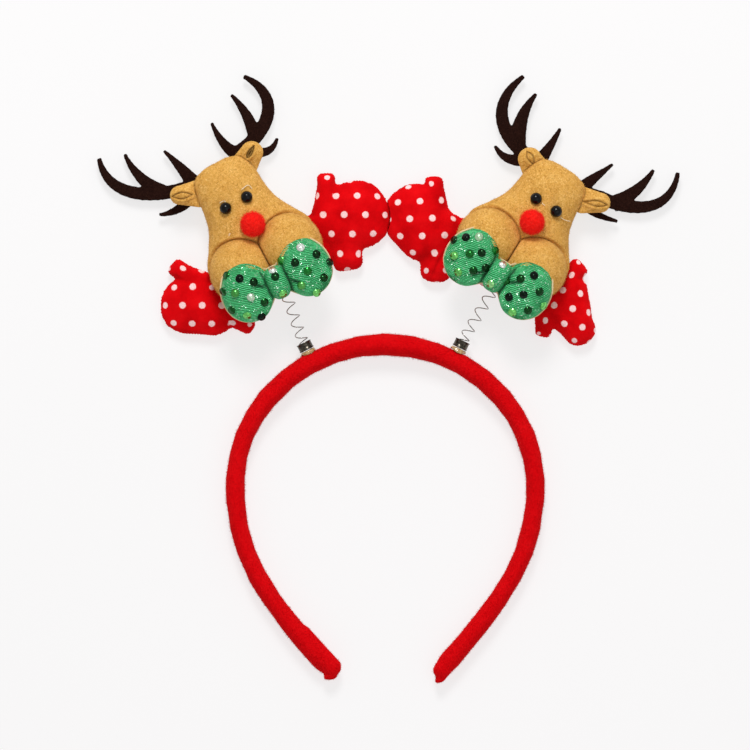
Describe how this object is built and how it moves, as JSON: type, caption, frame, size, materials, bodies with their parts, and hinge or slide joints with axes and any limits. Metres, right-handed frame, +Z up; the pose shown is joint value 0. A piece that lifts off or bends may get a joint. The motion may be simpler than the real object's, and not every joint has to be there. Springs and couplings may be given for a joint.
{
  "type": "christmas headband",
  "caption": "Padded felt headband hoop with stuffed reindeer heads on coil springs, each with felt antlers, a pompom nose, a sequinned bow and a dotted cloth bow.",
  "frame": {"origin": "on the surface the headband lies on, under the middle of its box", "axes": "+X across the hoop, +Y from the hoop's open end to its crown and the heads, +Z up out of the faces"},
  "size_m": [0.2446, 0.2536, 0.0307],
  "materials": {
    "red_felt": "red felt with a short nap",
    "tan_fleece": "tan fleece with a short pile",
    "brown_felt": "dark brown pressed felt",
    "black_bead": "polished black bead",
    "red_pompom": "trimmed red yarn",
    "green_sequin": "green ribbed knit with sequins",
    "dotted_cloth": "red cloth printed with white dots",
    "steel_wire": "drawn steel wire",
    "dark_nickel": "dark nickel plate",
    "amber_glue": "hardened hot-melt glue"
  },
  "bodies": {
    "root": {"band": "red_felt", "left_head": "tan_fleece", "left_muzzle": "tan_fleece", "left_eye_outer": "black_bead", "left_eye_inner": "black_bead", "left_nose": "red_pompom", "left_ear_outer": "tan_fleece", "left_ear_inner": "tan_fleece", "left_antler_outer": "brown_felt", "left_antler_inner": "brown_felt", "left_sequin_bow": "green_sequin", "left_bow_knot": "green_sequin", "left_dotted_bow": "dotted_cloth", "left_spring": "steel_wire", "left_spring_cup": "dark_nickel", "left_glue": "amber_glue", "right_head": "tan_fleece", "right_muzzle": "tan_fleece", "right_eye_outer": "black_bead", "right_eye_inner": "black_bead", "right_nose": "red_pompom", "right_ear_outer": "tan_fleece", "right_ear_inner": "tan_fleece", "right_antler_outer": "brown_felt", "right_antler_inner": "brown_felt", "right_sequin_bow": "green_sequin", "right_bow_knot": "green_sequin", "right_dotted_bow": "dotted_cloth", "right_spring": "steel_wire", "right_spring_cup": "dark_nickel", "right_glue": "amber_glue"}
  },
  "joints": []
}
